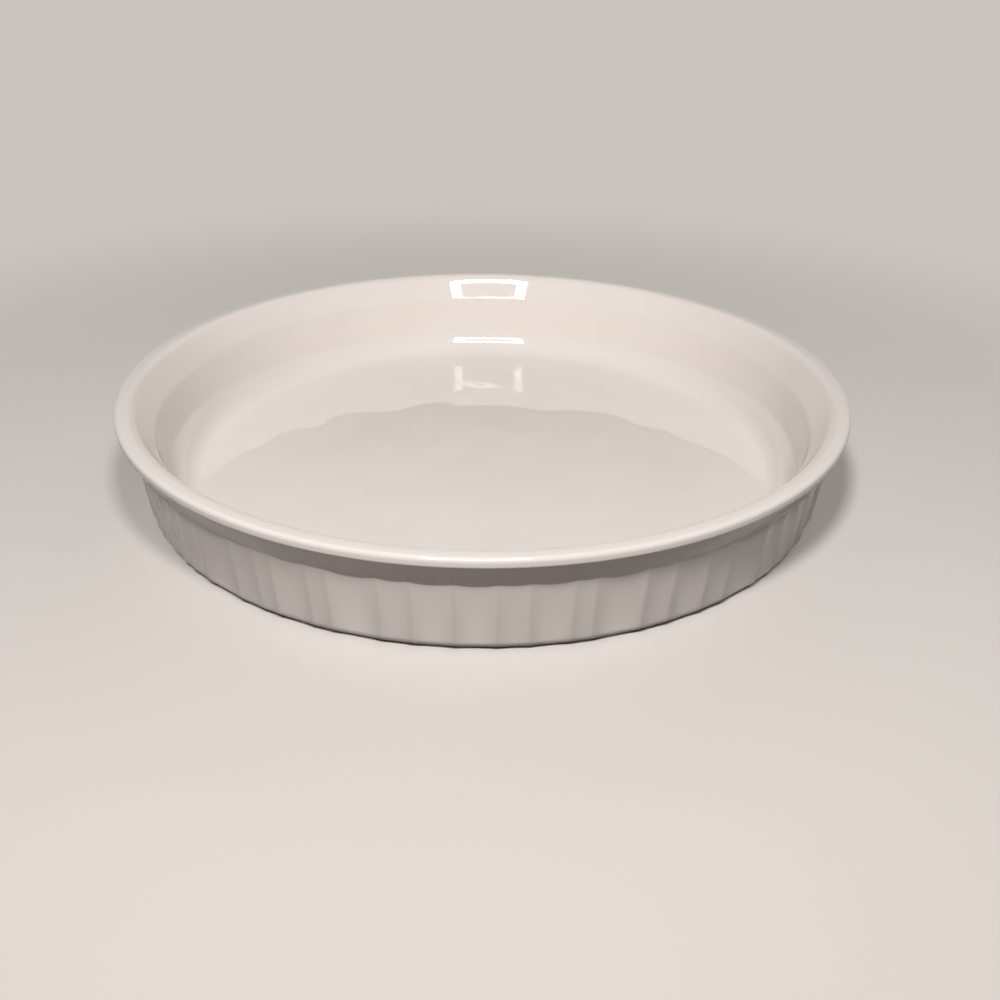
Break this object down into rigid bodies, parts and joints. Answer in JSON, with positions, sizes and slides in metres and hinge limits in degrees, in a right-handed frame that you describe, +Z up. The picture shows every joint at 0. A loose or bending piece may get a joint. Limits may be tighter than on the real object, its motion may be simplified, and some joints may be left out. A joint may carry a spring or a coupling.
{
  "type": "baking dish",
  "caption": "Round shallow baking dish in white glazed stoneware, with an upright fluted wall, a smooth flared neck and lip, a flat floor with a coved edge and a bare foot ring to stand on.",
  "frame": {"origin": "middle of the foot ring, level with the surface that the dish stands on", "axes": "+Z up along the dish's own axis, -Y towards the viewer of the picture, +X to the viewer's right"},
  "size_m": [0.2538, 0.2538, 0.0353],
  "materials": {
    "bare_stoneware": "matt fired clay",
    "white_glaze": "glossy warm white glaze"
  },
  "bodies": {
    "root": {"stoneware_body": "bare_stoneware", "glaze_coat": "white_glaze", "underside_glaze": "white_glaze"}
  },
  "joints": []
}
